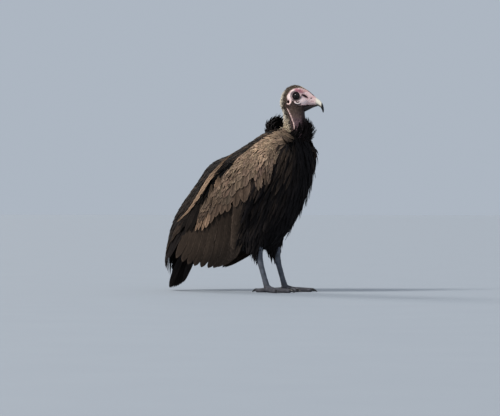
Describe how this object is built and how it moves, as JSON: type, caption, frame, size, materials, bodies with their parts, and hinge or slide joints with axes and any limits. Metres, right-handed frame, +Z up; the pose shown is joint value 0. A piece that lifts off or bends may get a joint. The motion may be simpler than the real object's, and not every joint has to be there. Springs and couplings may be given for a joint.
{
  "type": "hooded vulture model",
  "caption": "Life-size still model of a hooded vulture standing upright with folded wings, its head turned a little to its left and its tail tip on the ground.",
  "frame": {"origin": "middle of the footprint's bounding box, on the floor that the feet and the tail tip rest on", "axes": "+Z up, +X the way the body faces, +Y the bird's left"},
  "size_m": [0.4054, 0.1974, 0.4754],
  "materials": {
    "skin": "bare folded pink skin, soft sheen",
    "down": "short woolly cream and brown down",
    "plumage": "long dark brown body feathers, matt",
    "wing": "brown feathers with paler tips, matt",
    "quill": "blackish brown flight feathers, faint sheen",
    "leg": "blue-grey scaly skin, satin",
    "horn": "pale horn, darker towards the hook, satin",
    "claw": "black horn, satin",
    "eye": "dark brown, wet gloss"
  },
  "bodies": {
    "root": {"head": "skin", "bill_upper": "horn", "bill_lower": "horn", "neck": "down", "ruff": "plumage", "trunk": "plumage", "tail": "quill", "eye_right": "eye", "eye_left": "eye", "wing_right": "wing", "wing_left": "wing", "primaries_right": "quill", "primaries_left": "quill", "thigh_right": "plumage", "thigh_left": "plumage", "shank_right": "leg", "shank_left": "leg", "foot_right": "leg", "foot_left": "leg", "claw_middle_right": "claw", "claw_middle_left": "claw", "claw_inner_right": "claw", "claw_inner_left": "claw", "claw_outer_right": "claw", "claw_outer_left": "claw", "claw_hind_right": "claw", "claw_hind_left": "claw"}
  },
  "joints": []
}
